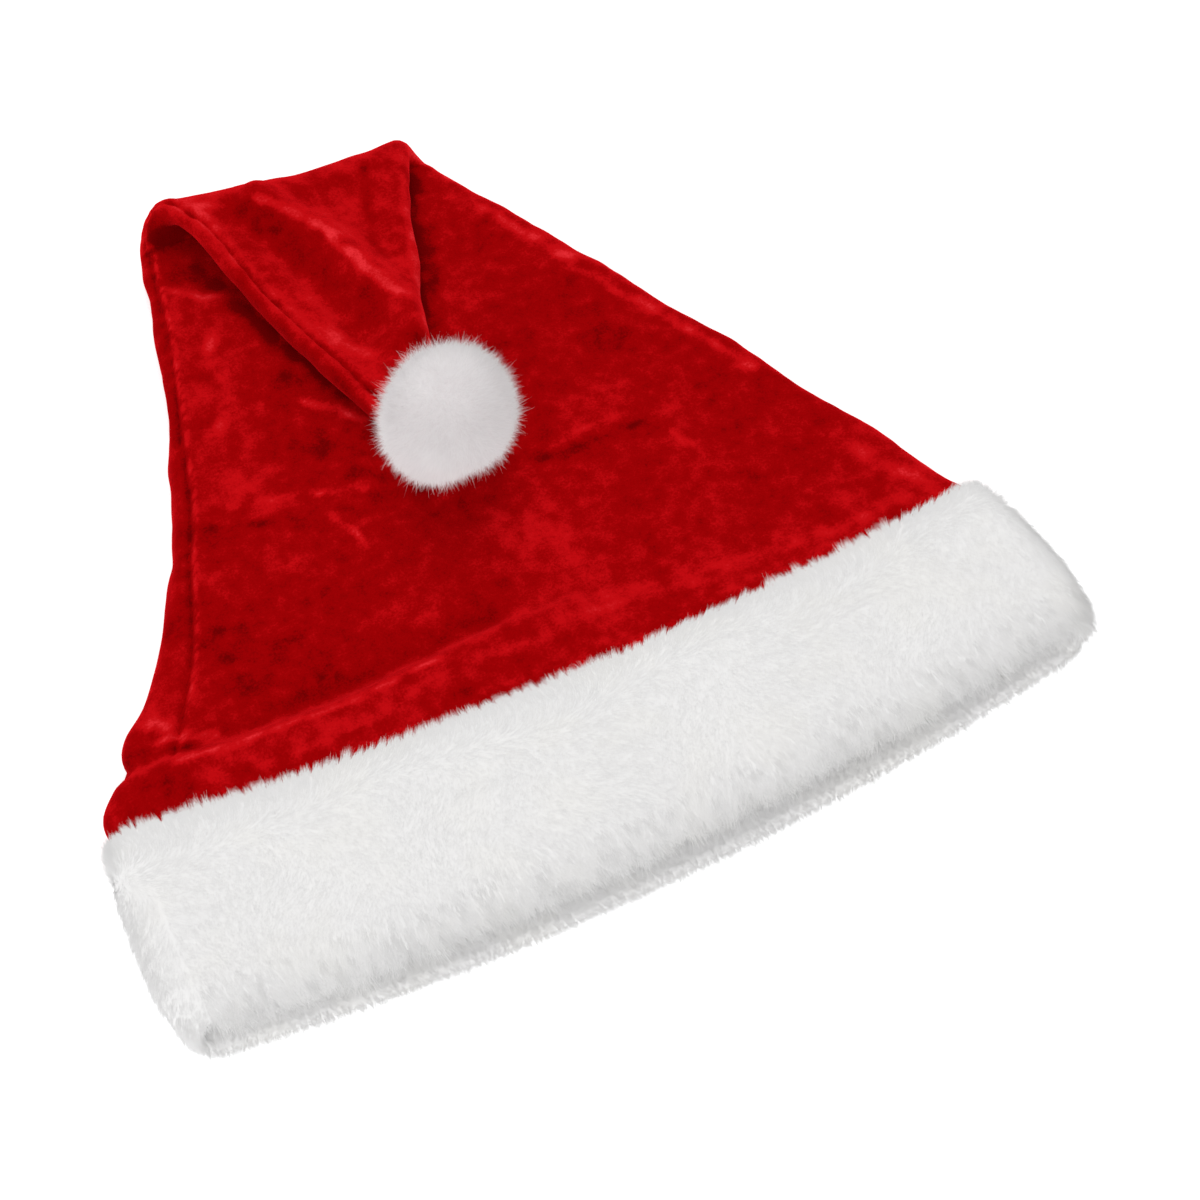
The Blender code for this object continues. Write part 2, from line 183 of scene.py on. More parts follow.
def loopGrid(along, shares, sideSteps):
    # the closed loops of cloth at each distance: front from left to right, right side, back, left side
    # gives x and z, whether a point is on the back, and its arc length from the left edge
    along = along[:, None]
    middle, half, left, right, dome, floor = rowsAt(along)
    flatLeft, flatRight = half - left, half - right
    width = flatLeft + flatRight
    frontX = -flatLeft + width * shares
    frontZ = frontHeight(along + 0 * frontX, frontX)
    turn = math.pi * np.arange(1, sideSteps) / sideSteps
    ones = np.ones_like(frontX)
    x = np.hstack([
        frontX, flatRight + right * np.sin(turn), frontX[:, ::-1], -flatLeft - left * np.sin(turn)
    ])
    z = np.hstack([
        frontZ, floor + right * (1 + np.cos(turn)), floor * ones, floor + left * (1 - np.cos(turn))
    ])
    back = np.hstack([
        0 * ones, turn / math.pi + 0 * right, ones, 1 - turn / math.pi + 0 * left
    ])
    corner = left * math.pi / 2
    fromLeft = np.hstack([
        corner + width * shares, corner + width + right * turn, -corner - (width * shares)[:, ::-1],
        left * (turn - math.pi / 2),
    ])
    return x, z, back, fromLeft


def bowed(x, along):
    below = np.clip(-along / hat["brimHeight"], 0, 1)
    across = x / hat["bowHalfWidth"]
    depth = hat["bow"] + (hat["hemBow"] - hat["bow"]) * below
    tilt = hat["topTilt"] + (hat["hemTilt"] - hat["topTilt"]) * below
    return (1 - eased(along / hat["bowFade"])) * (depth * (1 - across**2) + tilt * across)


def folded(along, x, z, back):  # where points of the unfolded hat lie once the tip is folded over
    middle, half, left, right, dome, floor = rowsAt(along)
    planX = middle + x
    cosTurn, sinTurn = math.cos(hat["foldTurn"]), math.sin(hat["foldTurn"])
    dip = hat["foldDip"] * np.maximum(0, 1 - (planX / hat["foldLeft"][0]) ** 2)
    offsetY = along - hat["foldAt"] + dip
    past = -planX * sinTurn + offsetY * cosTurn
    along1 = planX * cosTurn + offsetY * sinTurn
    footX, footY = along1 * cosTurn, hat["foldAt"] - dip + along1 * sinTurn
    (leftX, leftRadius), (rightX, rightRadius) = hat["foldLeft"], hat["foldRight"]
    radius = leftRadius + (rightRadius - leftRadius) * np.clip((planX - leftX) / (rightX - leftX), -0.3, 1.3)
    middleZ = floor + left
    inward = z - middleZ
    turn = np.clip(past / radius, 0, math.pi)
    over = (radius - inward) * np.sin(turn)
    bentX, bentY = footX - sinTurn * over, footY + cosTurn * over
    bentZ = middleZ + radius - (radius - inward) * np.cos(turn)
    beyond = past - math.pi * radius
    flapX, flapY = footX + sinTurn * beyond, footY - cosTurn * beyond
    underMiddle = rowsAt(flapY)[0]
    bodyTop = frontHeight(flapY, flapX - underMiddle)
    draped = bodyTop + hat["cloth"] + hat["drapeGap"] + frontHeight(along, x) - z
    looped = middleZ + 2 * radius - inward
    flat, bent = past <= 0, beyond < 0
    pleats = foldHeight(flapFolds, np.where(bent, bentX, flapX), np.where(bent, bentY, flapY)) * back
    pleats *= eased(past / (math.pi * radius) * 2 - 0.9)  # they start at the top of the bend
    flapZ = looped + (draped - looped) * eased(beyond / hat["drapeLength"]) + pleats
    newX = np.where(flat, planX, np.where(bent, bentX, flapX))
    newY = np.where(flat, along - bowed(planX, along), np.where(bent, bentY, flapY))
    newZ = np.where(flat, z, np.where(bent, bentZ + pleats, flapZ))
    return np.stack([newX, newY, newZ], axis=-1)


def gridNormals(grid):  # outward normals of rings of points
    across = np.roll(grid, -1, axis=1) - np.roll(grid, 1, axis=1)
    up = np.gradient(grid, axis=0)
    return unit(np.cross(across, up))


def frameShift():  # the frame has its origin under the middle of the hat's box
    along = np.linspace(-hat["grooveDepth"], hat["bowFade"], 60)
    x, z, back, _ = loopGrid(along, np.linspace(0, 1, 60), 8)
    plain = folded(along[:, None] + 0 * x, x, z, back)
    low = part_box("crown")[0]
    return np.array([low[0] - plain[..., 0].min() + hat["cloth"] / 2, low[1] - plain[..., 1].min(), 0])


shift = frameShift()
print("form worked out, shift", [round(v / mm, 2) for v in shift], "mm")


# meshes

def makePiece(name, points, faceSets, material):
    mesh = bpy.data.meshes.new(name)
    corners = np.concatenate([faces.ravel() for faces in faceSets]).astype(np.int32)
    counts = np.concatenate([np.full(len(faces), faces.shape[1]) for faces in faceSets])
    starts = np.concatenate([[0], np.cumsum(counts)[:-1]]).astype(np.int32)
    mesh.vertices.add(len(points))
    mesh.vertices.foreach_set("co", points.astype(np.float32).ravel())
    mesh.loops.add(len(corners))
    mesh.loops.foreach_set("vertex_index", corners)
    mesh.polygons.add(len(starts))
    mesh.polygons.foreach_set("loop_start", starts)
    mesh.update(calc_edges=True)
    mesh.materials.append(material)
    mesh.shade_smooth()
    piece = bpy.data.objects.new(name, mesh)
    bpy.context.scene.collection.objects.link(piece)
    return piece


def ringFaces(rows, columns, start=0):  # quads between rings of points that close on themselves
    row, column = np.meshgrid(np.arange(rows - 1), np.arange(columns), indexing="ij")
    after = (column + 1) % columns
    low, high = start + row * columns, start + (row + 1) * columns
    return np.stack([low + column, low + after, high + after, high + column], axis=-1).reshape(-1, 4)


def triangles(faces):
    return sum(len(f) * (f.shape[1] - 2) for f in faces)


# materials

def shaderNode(tree, kind, inputs=None, **settings):
    node = tree.nodes.new(kind)
    for name, value in settings.items():
        setattr(node, name, value)
    for socket, value in (inputs or {}).items():
        if isinstance(value, bpy.types.NodeSocket):
            tree.links.new(value, node.inputs[socket])
        else:
            node.inputs[socket].default_value = value
    return node


def mathNode(tree, operation, *values):
    return shaderNode(tree, "ShaderNodeMath", dict(enumerate(values)), operation=operation).outputs[0]


def bumpNode(tree, height, look, under=None):
    strength, distance = look
    inputs = {"Height": height, "Strength": strength, "Distance": distance}
    if under:
        inputs["Normal"] = under
    return shaderNode(tree, "ShaderNodeBump", inputs).outputs["Normal"]


def newMaterial(name, roughness, sheen, sheenRoughness, sheenTint, specular):
    material = bpy.data.materials.new(name)
    material.use_nodes = True
    shader = material.node_tree.nodes["Principled BSDF"]
    shader.inputs["Roughness"].default_value = roughness
    shader.inputs["Sheen Weight"].default_value = sheen
    shader.inputs["Sheen Roughness"].default_value = sheenRoughness
    shader.inputs["Sheen Tint"].default_value = (*sheenTint, 1)
    shader.inputs["Specular IOR Level"].default_value = specular
    return material, material.node_tree, shader


def colourRamp(tree, value, stops):
    node = tree.nodes.new("ShaderNodeValToRGB")
    ramp = node.color_ramp
    ramp.interpolation = "EASE"
    while len(ramp.elements) < len(stops):
        ramp.elements.new(0.5)
    for element, (position, colour) in zip(ramp.elements, stops):
        element.position = position
        element.color = (*colour, 1)
    tree.links.new(value, node.inputs["Fac"])
    return node.outputs["Color"]


def noiseAt(tree, coordinates, size, detail=4.0, roughness=0.55, distortion=0.0):
    node = shaderNode(tree, "ShaderNodeTexNoise", {
        "Vector": coordinates, "Scale": 1 / size, "Detail": detail,
        "Roughness": roughness, "Distortion": distortion,
    })
    return node.outputs["Fac"]


def mixColours(tree, factor, first, second, blend="MIX"):
    node = tree.nodes.new("ShaderNodeMix")
    node.data_type = "RGBA"
    node.blend_type = blend
    sockets = {s.identifier: s for s in node.inputs}
    for identifier, value in (("Factor_Float", factor), ("A_Color", first), ("B_Color", second)):
        if isinstance(value, bpy.types.NodeSocket):
            tree.links.new(value, sockets[identifier])
        else:
            sockets[identifier].default_value = value if isinstance(value, float) else (*value, 1)
    return next(s for s in node.outputs if s.identifier == "Result_Color")


velvetLook = {
    "dark": (0.155, 0.0004, 0.0009),
    "middle": (0.325, 0.0006, 0.0015),
    "bright": (0.55, 0.0038, 0.0060),
    # the brightest red, for the painted highlights on crests and the painted sheen along rims
    "paintedHighlight": (0.82, 0.028, 0.036),
    "stops": (0.24, 0.43, 0.62, 0.85),  # where those four colours lie
    "plain": 0.43,  # the shade of velvet where no specks, seam line or painted light and shade are added
    # how far the specks, the seam line and the painted light and shade move the velvet's shade
    "specksSeamAndPaintedLightShare": 0.30,
    "blotchSize": 22 * mm,
    "crushSize": 5 * mm,
    "grainSize": 0.7 * mm,
    "blotch": 0.34,
    "crush": 0.38,
    "grain": 0.30,
    "grainBump": (0.4, 0.5 * mm),  # strength, height
    "crushBump": (0.35, 1.2 * mm),
    "roughness": 0.8,
    "sheen": 0.7,
    "sheenRoughness": 0.40,
    "sheenTint": (1.0, 0.014, 0.022),
}


def velvetMaterial():
    look = velvetLook
    material, tree, shader = newMaterial(
        "velvet", look["roughness"], look["sheen"], look["sheenRoughness"], look["sheenTint"], 0.0)
    place = shaderNode(tree, "ShaderNodeTexCoord").outputs["Object"]
    # specks and seam line, with painted highlights, painted sheen and painted shadows, worked out when the
    # crown is made
    specksSeamAndPaintedLight = shaderNode(tree, "ShaderNodeAttribute", attribute_name="specksSeamAndPaintedLight").outputs["Fac"]
    blotches = noiseAt(tree, place, look["blotchSize"], detail=4, roughness=0.6)
    crush = noiseAt(tree, place, look["crushSize"], detail=3, roughness=0.5)
    grain = noiseAt(tree, place, look["grainSize"], detail=2, roughness=0.7)
    shade = mathNode(tree, "MULTIPLY_ADD", specksSeamAndPaintedLight, look["specksSeamAndPaintedLightShare"], look["plain"])
    for noise, amount in ((blotches, look["blotch"]), (crush, look["crush"]), (grain, look["grain"])):
        shade = mathNode(tree, "MULTIPLY_ADD", mathNode(tree, "SUBTRACT", noise, 0.5), amount, shade)
    colours = (look["dark"], look["middle"], look["bright"], look["paintedHighlight"])
    tree.links.new(colourRamp(tree, shade, list(zip(look["stops"], colours))), shader.inputs["Base Color"])
    fine = bumpNode(tree, grain, look["grainBump"])
    bump = bumpNode(tree, crush, look["crushBump"], fine)
    tree.links.new(bump, shader.inputs["Normal"])
    return material


plushLook = {
    # painted shade: the strands darker at their roots, as deep in the fur
    "root": (0.88, 0.87, 0.865),
    "tip": (0.96, 0.955, 0.95),
    "cream": (0.94, 0.93, 0.91),
    "creamSize": 22 * mm,
    "deepest": 0.88,  # the shade of the darkest strands
    "sheen": 0.25,
}

pompomLook = {
    # painted shade at the roots; the pink of root, tip and cream is a painted reflection of the red velvet
    "root": (0.88, 0.80, 0.81),
    "tip": (1.0, 0.975, 0.98),
    "cream": (1.0, 0.955, 0.96),
    "creamSize": 12 * mm,
    "deepest": 0.9,
    "sheen": 0.25,
}


def furMaterial(name, look):
    material, tree, shader = newMaterial(name, 0.95, look["sheen"], 0.5, (1, 1, 1), 0.15)
    strand = shaderNode(tree, "ShaderNodeAttribute", attribute_name="strand")
    place = shaderNode(tree, "ShaderNodeTexCoord").outputs["Object"]
    split = shaderNode(tree, "ShaderNodeSeparateColor", {"Color": strand.outputs["Color"]})
    # from the painted shade at the root to the tip's colour
    colour = mixColours(tree, split.outputs["Red"], look["root"], look["tip"])
    patches = noiseAt(tree, place, look["creamSize"], detail=3)
    creamShare = colourRamp(tree, patches, [(0.45, (0, 0, 0)), (0.65, (0.6, 0.6, 0.6))])
    colour = mixColours(tree, creamShare, colour, look["cream"])
    tint = colourRamp(tree, split.outputs["Green"], [(0.0, (look["deepest"],) * 3), (1.0, (1.0, 1.0, 1.0))])
    colour = mixColours(tree, 1.0, colour, tint, "MULTIPLY")
    tree.links.new(colour, shader.inputs["Base Color"])
    return material


velvet = velvetMaterial()
plush = furMaterial("plush", plushLook)
pompomFur = furMaterial("pompom_fur", pompomLook)
print("materials made")


# the velvet crown

crown = {
    "frontSteps": 176,
    "sideSteps": 12,
    "leftCrowding": 0.42,  # columns lie closer together near the seam
    "bodyStep": 1.45 * mm,
    "bendStep": 0.9 * mm,
    "flapStep": 1.4 * mm,
    "bendMargin": 6 * mm,  # how far past the bend its closer rows go on
    "innerEvery": 4,  # the inside has every fourth row and column
    "tipReach": 1.5 * mm,  # how far the closed end stands past the last loop
    "panelsApart": 40 * mm,  # between the front and the back where noise is read
    "lumpHeight": 0.45 * mm,
    "lumpSize": 20 * mm,
    "crumpleHeight": 0.16 * mm,
    "crumpleSize": 6 * mm,
    "seamDepth": 1.1 * mm,
    "seamWidth": 1.1 * mm,
    "seamPuff": (0.5 * mm, 2.6 * mm, 1.6 * mm),  # how high, how far from the seam, how wide
    "seamStart": 14 * mm,  # nearer the brim the seam is lost among the gathers
    "seamGrows": 16 * mm,
    "seamLeast": 0.15,
    "stitchLength": 5 * mm,
    "stitchDepth": 0.25,
    "gatherHeight": 0.8 * mm,
    "gatherSize": 9 * mm,
    "gatherReach": 14 * mm,
    "gatherRun": (0.3, 0.12),  # their slant, and less of the second makes them longer
    "edgeEase": 9 * mm,  # all relief is eased in over this length from the brim's groove
    "paintedSlopeShade": 0.55,  # painted shade and light: how much darker the velvet is painted where it faces the brim, and lighter where it faces the other way
    "paintedLitSlopeWay": (0.4, 0.9, 0.0),
    "markStrength": 1.25,  # of bodyPaintedLight and flapPaintedLight, the painted highlights and painted shade
    "markEnds": 6 * mm,
    "markWaver": (9 * mm, 0.6 * mm),  # lump size, and how far the marks wander
    "markPatches": (5 * mm, 0.75, 0.35),  # patch size, how much shows of them, how far that varies
    "speckSize": 1.6 * mm,  # bright specks beside the seam
    "specks": (0.6, 1.9 * mm, 1.0 * mm),  # how bright, how far from the seam, how wide
    "backSpecks": 0.4,  # of that on the back
    "seamShade": (-0.45, 0.8 * mm),
    "rimPaintedSheen": (0.9, 1 * mm, 3 * mm),  # painted sheen along the right edge: how bright, how far in from the right edge, how wide
    "rimSheenPatches": (12 * mm, 1.2, 0.8),  # patch size, how much shows, how far that varies, of that painted sheen
    "loopPaintedHighlight": (0.5, 201 * mm, 14 * mm, 0, 5 * mm),  # painted highlight on the bend's left end: how bright, along, reach, from the left edge, reach
    # painted shadow in the hollow under the fold's left end: how dark, along, reach, from the left edge,
    # reach
    "underFoldPaintedShadow": (-1.3, 204 * mm, 8 * mm, 9 * mm, 9 * mm),
    # the whole flap lighter, and the velvet near the brim lighter, fading out over the given reach
    "flapShine": 0.25,
    "brimShine": (0.1, 60 * mm),
    "leftReach": 16 * mm,
    "leftOutline": (  # along, reach and depth of the bulges and pinches in the left edge
        (21 * mm, 3.5 * mm, -3.6 * mm),
        (30 * mm, 7 * mm, 1.8 * mm),
        (8 * mm, 6 * mm, 1.5 * mm),
        (84 * mm, 5 * mm, -0.9 * mm),
    ),
}

seamLine = np.array([  # along, arc length from the left edge, towards the front
    (-8, 21), (28, 18.8), (54, 14), (81, 8.8), (93, 8.4), (112, 6.7), (142, 5.3), (164, 4.9),
    (194, 4.0), (206, 0), (218, -4.8), (226, -5.8), (300, -5.5), (324, -4),
]) * mm

fineCreases = (  # points of (x, along), height, width above, width below
    (((-115, 33), (-110, 25), (-104, 21)), 0.9, 2.0, 2.0),
    (((-122, 27), (-112, 27), (-100, 22)), -0.9, 2.0, 2.0),
    (((12, 76), (33, 81), (49, 80), (62, 77)), 0.7, 1.6, 2.4),
    (((64, 76), (72, 80), (88, 83)), 0.7, 1.6, 2.4),
    (((65, 67), (70, 53)), 0.6, 2.0, 2.0),
    (((-60, 120), (-44, 108)), 0.5, 2.5, 2.5),
    (((-43, 75), (-33, 78)), 0.6, 1.4, 2.0),
    (((-49, 71), (-41, 61)), 0.6, 1.6, 1.6),
    (((-42, 65), (-31, 68)), 0.6, 1.4, 1.6),
    (((-84, 52), (-66, 44)), 0.5, 2.5, 2.5),
    (((20, 36), (48, 33)), 0.5, 3.0, 3.0),
    (((70, 100), (84, 88)), 0.5, 2.5, 2.5),
)


# painted highlights on crests and rims, and painted shade in valleys, hollows and cast shadows, as lines of
# (x, y) from above, how much, and the widths
bodyPaintedLight = (
    (((-51, 181), (-45, 175), (-41, 170), (-34, 166)), 0.6, 1.6, 1.3),
    (((-49, 186), (-41, 179), (-35, 171)), -0.4, 3.0, 3.0),
    (((-52, 153), (-43, 150)), 0.45, 1.5, 1.5),
    (((-31, 120), (-26, 115), (-21, 110), (-15, 101)), 0.85, 1.3, 1.8),
    (((-27, 115), (-22, 106)), 0.5, 1.3, 1.3),
    (((-54, 124), (-57, 118)), 0.3, 1.2, 1.2),
    (((-31, 133), (-28, 121)), -0.5, 4.0, 4.0),
    (((-35, 105), (-20, 88)), -0.35, 9.0, 9.0),
    (((-43, 83), (-24, 80)), 0.5, 1.2, 1.2),
    (((35, 178), (45, 178)), 0.35, 1.5, 1.5),
    (((33, 167), (29, 152), (22, 135)), -0.5, 4.5, 4.5),
    (((37, 189), (40, 184), (38, 178)), -0.8, 2.5, 3.5),
    (((52, 166), (68, 136), (74, 121), (84, 101), (92, 84), (101, 65)), 0.7, 2.5, 2.5),
    (((-77, 89), (-42, 72)), -0.35, 1.6, 1.6),
    (((-65, 91), (-23, 77)), 0.4, 1.2, 1.2),
    (((-39, 74), (-35, 58)), 0.9, 1.2, 1.2),
    (((-35, 66), (-18, 66)), 0.6, 1.1, 1.1),
    (((24, 67), (44, 67), (64, 67)), 0.6, 1.1, 1.1),
    (((22, 63), (41, 62), (62, 62)), -0.5, 1.8, 1.8),
    (((62, 62), (70, 44)), 0.45, 1.4, 1.4),
    (((-115, 14), (-100, 11.3), (-83, 9.7), (-66, 8.6), (-43, 9.2), (-29, 10.3)), 0.8, 0.8, 1.2),
    (((-108, 9), (-95, 6), (-71, 4), (-49, 4), (-30, 4), (-10, 6)), 0.3, 3.0, 3.0),
    (((15, 8), (47, 6)), 0.3, 1.5, 1.5),
    (((-105, 2), (-69, 0), (-40, 2), (-4, 4), (32, 4), (77, 1), (120, -1)), 0.35, 2.4, 2.4),
    (((-82, 58), (-86, 25)), -0.3, 8.0, 8.0),
    (((14, 55), (10, 20)), 0.25, 14.0, 14.0),
    (((110, 30), (126, 0)), 0.4, 2.5, 2.5),
    (((-118, 30), (-111, 28), (-107, 22)), 0.8, 1.6, 1.6),
    (((-114, 35), (-112, 25)), 0.7, 1.8, 1.8),
    (((-117, 24.5), (-106, 22.5), (-98, 18.5)), 0.9, 1.0, 1.2),
    (((-116, 21), (-100, 15)), -0.5, 1.5, 1.5),
    (((-112, 8), (-104, 4)), 0.5, 3.0, 3.0),
    (((42, 191), (37, 184), (33, 172), (27, 157), (21, 140), (15, 122)), -0.5, 1.2, 2.4),
    (((-39, 187), (-35, 176), (-32, 160), (-27, 142), (-21, 124), (-15, 110)), -0.7, 2.4, 2.4),
    (((-44, 178), (-50, 150), (-52, 120), (-60, 80)), 0.3, 10.0, 10.0),
    (((-117, 6), (-112, 1)), -0.4, 3.0, 3.0),
)

flapPaintedLight = (
    (
        ((-15, 189), (-9, 181.5), (-5.6, 176.8), (0.4, 167.5), (2.5, 160), (4.1, 152), (8.2, 138), (13, 130)),
        1.0, 2.2, 1.6,
    ),
    (((-24, 191), (-17, 182), (-11, 168), (-6, 155), (-2, 146), (3, 138), (7, 130)), -0.15, 4.0, 4.0),
    (((-32, 193), (-31, 183), (-29, 172), (-26, 161), (-22, 147), (-17, 134), (-11, 126)), 0.5, 3.0, 3.0),
    (((25, 191), (20, 181), (17, 167), (11, 151)), -0.35, 1.8, 1.8),
    (((34, 184), (27, 163), (22, 146), (16, 126), (12, 116)), 0.5, 1.3, 1.3),
    (((37, 194), (35, 184)), 0.4, 3.0, 3.0),
    (((-39, 196), (-31, 194), (-24, 192)), 0.5, 2.5, 2.5),
    (((-15, 143), (-10, 130), (-6, 115)), 0.3, 3.0, 3.0),
)


def crownAlong():
    bendStart = hat["foldAt"] - crown["bendMargin"]
    bendEnd = hat["foldAt"] + math.pi * hat["foldLeft"][1] + crown["bendMargin"]
    stretches = (
        (-hat["grooveDepth"], bendStart, crown["bodyStep"]),
        (bendStart, bendEnd, crown["bendStep"]),
        (bendEnd, hat["tipLength"], crown["flapStep"]),
    )
    parts = [np.linspace(a, b, max(2, round((b - a) / step)), endpoint=False) for a, b, step in stretches]
    return np.append(np.concatenate(parts), hat["tipLength"])


def spotAt(spot, along, fromLeft):
    strength, at, reach, side, width = spot
    return strength * bell(along - at, reach) * bell(fromLeft - side, width)


def crownRelief(along, x, back, fromLeft):
    # how far the velvet stands out from the plain form, and its specks, seam line and painted light and
    # shade, from -1 to 1
    flatPlan = np.stack([x, along + 0 * x, crown["panelsApart"] * back], axis=-1)
    middle, half, left, right, _, _ = rowsAt(along)
    front = back < 0.5
    beside = fromLeft - np.interp(along, seamLine[:, 0], seamLine[:, 1])
    stitches = 1 + crown["stitchDepth"] * np.sin(along * 2 * math.pi / crown["stitchLength"])
    seamShows = eased((along - crown["seamStart"]) / crown["seamGrows"])
    seamShows = crown["seamLeast"] + (1 - crown["seamLeast"]) * seamShows

    relief = crown["lumpHeight"] * softNoise(flatPlan, crown["lumpSize"], 3)
    relief += crown["crumpleHeight"] * softNoise(flatPlan, crown["crumpleSize"], 5, waves=24)
    relief += foldHeight(fineCreases, x + middle, along, 4 * mm) * (along < hat["foldAt"]) * front
    relief -= crown["seamDepth"] * bell(beside, crown["seamWidth"]) * stitches * seamShows
    puff, puffAt, puffWidth = crown["seamPuff"]
    relief += puff * bell(np.abs(beside) - puffAt, puffWidth) * seamShows
    slant, stretch = crown["gatherRun"]
    gatherPlan = np.stack([x + slant * along, stretch * along + 0 * x], axis=-1)
    gathers = softNoise(gatherPlan, crown["gatherSize"], 9)
    relief += crown["gatherHeight"] * gathers * np.exp(-np.maximum(along, 0) / crown["gatherReach"])
    for at, reach, depth in crown["leftOutline"]:
        relief += depth * bell(fromLeft, crown["leftReach"]) * bell(along - at, reach)
    relief *= eased((along + hat["grooveDepth"]) / crown["edgeEase"])

    specks, fromSeam, speckBand = crown["specks"]
    specks = specks * eased(0.5 + softNoise(flatPlan, crown["speckSize"], 11, waves=30))
    inside = np.where(along < hat["foldAt"] + 10 * mm, beside, -beside)
    specksSeamAndPaintedLight = specks * bell(inside - fromSeam, speckBand) * np.where(back > 0.5, crown["backSpecks"], 1)
    specksSeamAndPaintedLight *= seamShows
    seamShade, shadeWidth = crown["seamShade"]
    specksSeamAndPaintedLight += seamShade * bell(beside, shadeWidth) * seamShows
    rightEdge = 2 * half - left - right + (left + right) * math.pi / 2
    # painted sheen in patches along the right edge
    shine, shineAt, shineWidth = crown["rimPaintedSheen"]
    patchSize, usual, spread = crown["rimSheenPatches"]
    patchy = eased(usual + spread * softNoise(flatPlan, patchSize, 12))
    specksSeamAndPaintedLight += shine * bell(fromLeft - rightEdge + shineAt, shineWidth) * patchy
    # painted shadow under the fold's left end, and a painted highlight on its bend
    specksSeamAndPaintedLight += spotAt(crown["underFoldPaintedShadow"], along, fromLeft) * front + spotAt(crown["loopPaintedHighlight"], along, fromLeft)
    shine, shineReach = crown["brimShine"]
    onFlap = along > hat["foldAt"] + 5 * mm
    specksSeamAndPaintedLight += np.where(onFlap, crown["flapShine"], shine * eased(1 - along / shineReach))
    return relief, specksSeamAndPaintedLight


def paintedLightAndShade(points, along, back):  # the painted highlights and painted shade of the marks, and painted light and shade by which way each slope faces
    plan = (points - shift)[..., :2]
    lumpSize, wander = crown["markWaver"]
    waver = wander * np.stack([softNoise(plan, lumpSize, 61), softNoise(plan, lumpSize, 62)], axis=-1)
    x, y = np.moveaxis(plan + waver, -1, 0)
    patchSize, usual, spread = crown["markPatches"]
    patchy = usual + spread * softNoise(plan, patchSize, 63, waves=24)
    onBody = (along < hat["foldAt"]) & (back < 0.5)
    onFlap = (along > hat["foldAt"]) & (back > 0.5)
    marks = np.where(onBody, foldHeight(bodyPaintedLight, x, y, crown["markEnds"]), 0)
    marks += np.where(onFlap, foldHeight(flapPaintedLight, x, y, crown["markEnds"]), 0)
    # painted light on slopes that face paintedLitSlopeWay, painted shade on slopes that face the brim
    lean = gridNormals(points) @ unit(np.array(crown["paintedLitSlopeWay"]))
    return crown["markStrength"] * marks / mm * patchy + crown["paintedSlopeShade"] * lean


def makeCrown():
    t = np.linspace(0, 1, crown["frontSteps"] + 1)
    shares = t * (1 - crown["leftCrowding"]) + t * t * crown["leftCrowding"]
    along = crownAlong()
    x, z, back, fromLeft = loopGrid(along, shares, crown["sideSteps"])
    alongGrid = along[:, None] + 0 * x
    middle = folded(alongGrid, x, z, back) + shift
    normals = gridNormals(middle)
    relief, specksSeamAndPaintedLight = crownRelief(alongGrid, x, back, fromLeft)
    outer = middle + normals * (hat["cloth"] / 2 + relief)[..., None]
    outer[..., 2] = np.maximum(outer[..., 2], 0)
    specksSeamAndPaintedLight = np.clip(specksSeamAndPaintedLight + paintedLightAndShade(outer, alongGrid, back), -1, 1)
    every = crown["innerEvery"]
    rows, columns = outer.shape[:2]
    innerRows = np.unique(np.append(np.arange(0, rows, every), rows - 1))
    innerColumns = np.arange(0, columns, every)
    inner = (middle - normals * hat["cloth"] / 2)[np.ix_(innerRows, innerColumns)]
    tips = np.array([ring.mean(axis=0) - [0, crown["tipReach"], 0] for ring in (outer[-1], inner[-1])])
    points = np.vstack([outer.reshape(-1, 3), inner.reshape(-1, 3), tips])
    innerStart = rows * columns
    outerTip, innerTip = len(points) - 2, len(points) - 1
    innerCount = len(innerColumns)
    outerFaces = ringFaces(rows, columns)
    innerFaces = ringFaces(len(innerRows), innerCount, innerStart)[:, ::-1]
    ring = np.arange(columns)
    lastRing = (rows - 1) * columns
    outerCap = np.stack([
        lastRing + ring, lastRing + (ring + 1) % columns, np.full(columns, outerTip),
    ], axis=-1)
    innerRing = np.arange(innerCount)
    lastInner = innerStart + (len(innerRows) - 1) * innerCount
    innerCap = np.stack([
        lastInner + (innerRing + 1) % innerCount, lastInner + innerRing, np.full(innerCount, innerTip)
    ], axis=-1)
    rim = []
    for n, column in enumerate(innerColumns):
        following = innerColumns[n + 1] if n + 1 < innerCount else columns
        edge = [c % columns for c in range(column, following + 1)]
        rim.append(edge[::-1] + [innerStart + n, innerStart + (n + 1) % innerCount])
    sizes = sorted({len(face) for face in rim})
    rimFaces = [np.array([face for face in rim if len(face) == size]) for size in sizes]
    faces = [outerFaces, innerFaces, outerCap, innerCap, *rimFaces]
    piece = makePiece("velvet_crown", points, faces, velvet)
    values = np.zeros(len(points), dtype=np.float32)
    values[:innerStart] = specksSeamAndPaintedLight.ravel()
    piece.data.attributes.new("specksSeamAndPaintedLight", "FLOAT", "POINT").data.foreach_set("value", values)
    print("crown made,", triangles(faces), "triangles")
    return piece


crownPiece = makeCrown()
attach(crownPiece, "root")
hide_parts("crown")


# fur: spikes that narrow to a point, gathered into clumps

